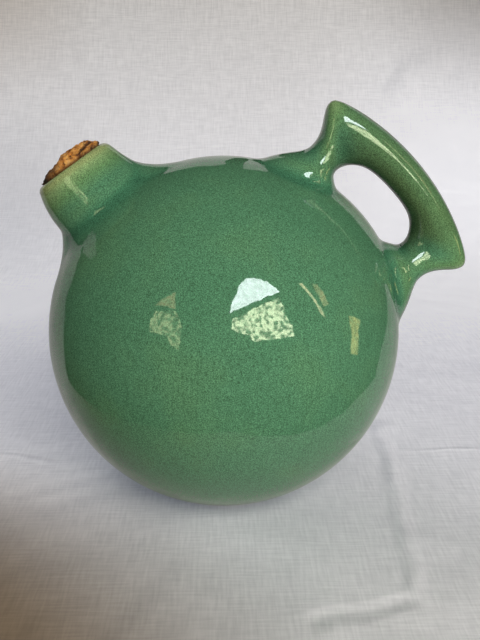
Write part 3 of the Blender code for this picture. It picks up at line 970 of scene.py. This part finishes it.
def make_sheet():
    """The cloth is cut flat along its outline, then both parts are swept up behind the jug."""
    choose_nothing()
    bpy.ops.mesh.primitive_plane_add(size=SHEET_SIZE)
    sheet = started("cloth_sheet")
    cuts = []
    for cut in range(SWEEP_CUTS + 1):
        along = SWEEP_START + SWEEP_RADIUS * pi / 2 * cut / SWEEP_CUTS
        cuts.append(((0, along, 0), (0, 1, 0)))
    for (x0, y0), (x1, y1) in zip(SHEET_OUTLINE, SHEET_OUTLINE[1:] + SHEET_OUTLINE[:1]):
        cuts.append(((x0, y0, 0), (y0 - y1, x1 - x0, 0)))
    for place, normal in cuts:
        bpy.ops.mesh.select_all(action="SELECT")
        bpy.ops.mesh.bisect(plane_co=place, plane_no=normal)
    bpy.ops.mesh.select_all(action="DESELECT")
    for face in bmesh.from_edit_mesh(sheet.data).faces:
        face.select_set(inside(face.calc_center_median().xy, SHEET_OUTLINE))
    bpy.ops.mesh.separate(type="SELECTED")
    bpy.ops.object.mode_set(mode="OBJECT")
    parts = list(bpy.context.selected_objects)
    for part in parts:
        for vert in part.data.vertices:
            vert.co = sweep_up(vert.co)
        choose(part)
        bpy.ops.object.shade_smooth()
    # What was left outside the outline isn't mirrored in the glaze
    sheet.visible_glossy = False
    return parts


def share_near(tree, place, middle, full, end):
    """How near a place is to a middle: 1 up to the full distance, 0 from the end on."""
    away = add_node(tree, "ShaderNodeVectorMath", {0: place, 1: middle}, operation="DISTANCE")
    return add_node(tree, "ShaderNodeMapRange", {
        "Value": away.outputs["Value"], "From Min": full, "From Max": end,
        "To Min": 1, "To Max": 0}, interpolation_type="SMOOTHSTEP").outputs["Result"]


def cloth_threads(tree, place):
    """Lighter and darker threads that cross."""
    threads = []
    for scales in (WARP_SCALES, WEFT_SCALES):
        stretched = add_node(tree, "ShaderNodeMapping", {"Vector": place, "Scale": scales})
        threads.append(add_node(tree, "ShaderNodeTexNoise", {
            "Vector": stretched.outputs["Vector"], "Scale": 1, "Detail": 2}).outputs["Fac"])
    weave = add_node(tree, "ShaderNodeMath", {0: threads[0], 1: threads[1]}, operation="ADD")
    return add_node(tree, "ShaderNodeMapRange", {
        "Value": weave.outputs["Value"], "From Min": WEAVE_NOISE[0], "From Max": WEAVE_NOISE[1],
        "To Min": WEAVE_LIGHT[0], "To Max": WEAVE_LIGHT[1]}).outputs["Result"]


def cloth_creases(tree, place):
    """Height of the creases over the cloth."""
    wander = add_node(tree, "ShaderNodeTexNoise", {
        "Vector": place, "Scale": CREASE_WANDER_SCALE, "Detail": 1})
    wandered = add_node(tree, "ShaderNodeVectorMath", {
        0: wander.outputs["Color"], 1: [CREASE_WANDER] * 3, 2: place},
        operation="MULTIPLY_ADD").outputs["Vector"]
    rise = 0
    for start, end, half_width, height in CREASES:
        start, end = Vector(start), Vector(end)
        line = end - start
        middle = (start + end) / 2 + Vector([CREASE_WANDER / 2] * 3)
        off = add_node(tree, "ShaderNodeVectorMath", {0: wandered, 1: middle},
                       operation="SUBTRACT").outputs["Vector"]
        on_line = add_node(tree, "ShaderNodeVectorMath", {0: off, 1: line},
                           operation="PROJECT").outputs["Vector"]
        along = add_node(tree, "ShaderNodeVectorMath", {0: on_line}, operation="LENGTH")
        aside = add_node(tree, "ShaderNodeVectorMath", {0: off, 1: on_line}, operation="DISTANCE")
        ridge = add_node(tree, "ShaderNodeMapRange", {
            "Value": aside.outputs["Value"], "From Min": 0, "From Max": half_width,
            "To Min": height, "To Max": 0}, interpolation_type="SMOOTHSTEP")
        fade_start, fade_end = [line.length * share for share in CREASE_FADE]
        ends = add_node(tree, "ShaderNodeMapRange", {
            "Value": along.outputs["Value"], "From Min": fade_start, "From Max": fade_end,
            "To Min": 1, "To Max": 0}, interpolation_type="SMOOTHSTEP")
        rise = add_node(tree, "ShaderNodeMath", {
            0: ridge.outputs["Result"], 1: ends.outputs["Result"], 2: rise},
            operation="MULTIPLY_ADD").outputs["Value"]
    return rise


def painted_cloth_light(tree, place):
    """Strength and colour of the painted light that the cloth glows with, for the camera alone."""
    parts = add_node(tree, "ShaderNodeSeparateXYZ", {"Vector": place}).outputs
    along = add_node(tree, "ShaderNodeMapRange", {
        "Value": parts["Y"], "From Min": PAINTED_LIGHT_ALONG[0],
        "From Max": PAINTED_LIGHT_ALONG[1]}).outputs["Result"]
    up = add_node(tree, "ShaderNodeMapRange", {
        "Value": parts["Z"], "From Min": PAINTED_LIGHT_UP[0], "From Max": PAINTED_LIGHT_UP[1],
        "To Min": PAINTED_LIGHT_STRENGTH, "To Max": 0}).outputs["Result"]
    through = add_node(tree, "ShaderNodeMath", {0: along, 1: up}, operation="MULTIPLY")
    brightest = add_node(tree, "ShaderNodeMath", {
        0: share_near(tree, place, BRIGHT_PLACE, *BRIGHT_REACH), 1: BRIGHT_STRENGTH,
        2: through.outputs["Value"]}, operation="MULTIPLY_ADD")
    near_shade, *_ = CLOTH_SHADES
    out_of_shade = add_node(tree, "ShaderNodeMath", {
        0: 1, 1: share_near(tree, place, *near_shade[:3])}, operation="SUBTRACT")
    lit = add_node(tree, "ShaderNodeMath", {
        0: brightest.outputs["Value"], 1: out_of_shade.outputs["Value"]}, operation="MULTIPLY")
    camera_alone = add_node(tree, "ShaderNodeLightPath").outputs["Is Camera Ray"]
    strength = add_node(tree, "ShaderNodeMath", {0: lit.outputs["Value"], 1: camera_alone},
                        operation="MULTIPLY").outputs["Value"]
    colour = add_node(tree, "ShaderNodeMix", {
        "Factor": along, 6: linear(PAINTED_LIGHT_NEAR), 7: linear(PAINTED_LIGHT_FAR)},
        data_type="RGBA").outputs[2]
    return strength, colour


def pale_cloth():
    """Plain woven bleached cotton, creased, in warm shade at its near left corner."""
    finish, tree, shader = new_finish("bleached_cotton")
    place = add_node(tree, "ShaderNodeTexCoord").outputs["Object"]
    colour = linear(CLOTH)
    for middle, full, end, shade_colour in CLOTH_SHADES:
        colour = add_node(tree, "ShaderNodeMix", {
            "Factor": share_near(tree, place, middle, full, end), 6: colour,
            7: linear(shade_colour)}, data_type="RGBA", blend_type="MULTIPLY").outputs[2]
    tinted = add_node(tree, "ShaderNodeHueSaturation", {
        "Color": colour, "Value": cloth_threads(tree, place)})
    tree.links.new(tinted.outputs["Color"], shader.inputs["Base Color"])
    folds = add_node(tree, "ShaderNodeTexNoise", {
        "Vector": place, "Scale": FOLD_SCALE, "Detail": 3, "Distortion": 0.6})
    fold_bump = add_node(tree, "ShaderNodeBump", {
        "Height": folds.outputs["Fac"], "Strength": 1, "Distance": FOLD_HEIGHT})
    crease_bump = add_node(tree, "ShaderNodeBump", {
        "Height": cloth_creases(tree, place), "Strength": 1, "Distance": 1,
        "Normal": fold_bump.outputs["Normal"]})
    tree.links.new(crease_bump.outputs["Normal"], shader.inputs["Normal"])
    # Painted light: the cloth glows for the camera alone, on top of its lit colour
    strength, painted_light_colour = painted_cloth_light(tree, place)
    tree.links.new(strength, shader.inputs["Emission Strength"])
    tree.links.new(painted_light_colour, shader.inputs["Emission Color"])
    shader.inputs["Roughness"].default_value = 1
    shader.inputs["Specular IOR Level"].default_value = 0
    return finish


def direction(around, up):
    """Unit direction from degrees round from the front towards +X and degrees up."""
    around, up = radians(around), radians(up)
    return Vector((sin(around) * cos(up), -cos(around) * cos(up), sin(up)))


def make_pane(name, corners, colour, strength, evenness):
    """A bright shape of the room, seen only in the glaze."""
    choose_nothing()
    places = [BALL_MIDDLE + direction(*corner) * PANE_DISTANCE for corner in corners]
    middle = sum(places, Vector()) / len(places)
    bpy.ops.mesh.primitive_circle_add(vertices=len(corners), fill_type="NGON", location=middle)
    pane = started(name)
    starts = [vert.co.copy() for vert in bmesh.from_edit_mesh(pane.data).verts]
    shift_points(pane, [(i, places[i] - middle - starts[i]) for i in range(len(corners))])
    placed(pane)
    finish = bpy.data.materials.new(name)
    finish.use_nodes = True
    tree = finish.node_tree
    tree.nodes.clear()
    place = add_node(tree, "ShaderNodeTexCoord").outputs["Object"]
    leaves = add_node(tree, "ShaderNodeTexNoise", {
        "Vector": place, "Scale": LEAF_SCALE, "Detail": 6})
    level = add_node(tree, "ShaderNodeMapRange", {
        "Value": leaves.outputs["Fac"], "From Min": LEAF_NOISE[0], "From Max": LEAF_NOISE[1],
        "To Min": strength * evenness, "To Max": strength})
    glow = add_node(tree, "ShaderNodeEmission", {
        "Color": linear(colour), "Strength": level.outputs["Result"]})
    add_node(tree, "ShaderNodeOutputMaterial", {"Surface": glow.outputs["Emission"]})
    dress(pane, finish)
    pane.visible_camera = pane.visible_diffuse = pane.visible_shadow = False
    pane.visible_transmission = False
    return pane


def make_lamp(name, around, up, distance, size, power, colour):
    """A soft light that faces the jug and doesn't show in the glaze."""
    data = bpy.data.lights.new(name, "AREA")
    data.size = size
    data.energy = power
    data.color = linear(colour)[:3]
    lamp = bpy.data.objects.new(name, data)
    bpy.context.scene.collection.objects.link(lamp)
    lamp.location = BALL_MIDDLE + direction(around, up) * distance
    lamp.rotation_euler = (BALL_MIDDLE - lamp.location).to_track_quat("-Z", "Y").to_euler()
    lamp.visible_glossy = lamp.visible_camera = False


def make_world():
    """Soft light from all round; the room is dim where the glaze mirrors it."""
    world = bpy.data.worlds.new("room")
    bpy.context.scene.world = world
    world.use_nodes = True
    tree = world.node_tree
    path = add_node(tree, "ShaderNodeLightPath")
    around = add_node(tree, "ShaderNodeTexCoord").outputs["Generated"]
    up = add_node(tree, "ShaderNodeSeparateXYZ", {"Vector": around}).outputs["Z"]
    height = add_node(tree, "ShaderNodeMapRange", {
        "Value": up, "From Min": CEILING_UP[0], "From Max": CEILING_UP[1]})
    room = add_node(tree, "ShaderNodeMix", {
        "Factor": height.outputs["Result"], 6: linear(AMBIENT), 7: linear(CEILING)},
        data_type="RGBA")
    seen = add_node(tree, "ShaderNodeMix", {
        "Factor": path.outputs["Is Glossy Ray"], 6: room.outputs[2], 7: linear(DIM_ROOM)},
        data_type="RGBA")
    shown = add_node(tree, "ShaderNodeMix", {
        "Factor": path.outputs["Is Camera Ray"], 6: seen.outputs[2], 7: linear(BACKGROUND)},
        data_type="RGBA")
    tree.links.new(shown.outputs[2], tree.nodes["Background"].inputs["Color"])


def make_camera():
    data = bpy.data.cameras.new("camera")
    data.lens = CAMERA_LENS
    data.sensor_width = CAMERA_SENSOR
    camera = bpy.data.objects.new("camera", data)
    bpy.context.scene.collection.objects.link(camera)
    camera.location = CAMERA_PLACE
    camera.rotation_euler = CAMERA_TURN
    bpy.context.scene.camera = camera


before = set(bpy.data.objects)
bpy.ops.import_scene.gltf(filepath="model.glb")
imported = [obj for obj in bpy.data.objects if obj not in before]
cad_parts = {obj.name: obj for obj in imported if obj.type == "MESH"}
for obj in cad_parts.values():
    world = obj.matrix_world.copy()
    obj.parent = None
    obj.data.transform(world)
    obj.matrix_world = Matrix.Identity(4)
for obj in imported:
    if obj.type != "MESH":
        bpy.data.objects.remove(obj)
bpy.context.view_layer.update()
bpy.context.scene.view_settings.view_transform = "Standard"
make_camera()

pot = make_pot()
dress(pot, green_glaze())
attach(pot, "jug")
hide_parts("ball_body", "spout", "handle")

cork = make_cork()
dress(cork, broken_cork_finish())
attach(cork, "cork")
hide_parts("cork_stopper")

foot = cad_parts["foot"]
foot.material_slots[0].material = bare_clay()

cloth = pale_cloth()
for part in make_sheet():
    dress(part, cloth)
for pane in PANES:
    make_pane(*pane)
for lamp in LAMPS:
    make_lamp(*lamp)
make_world()
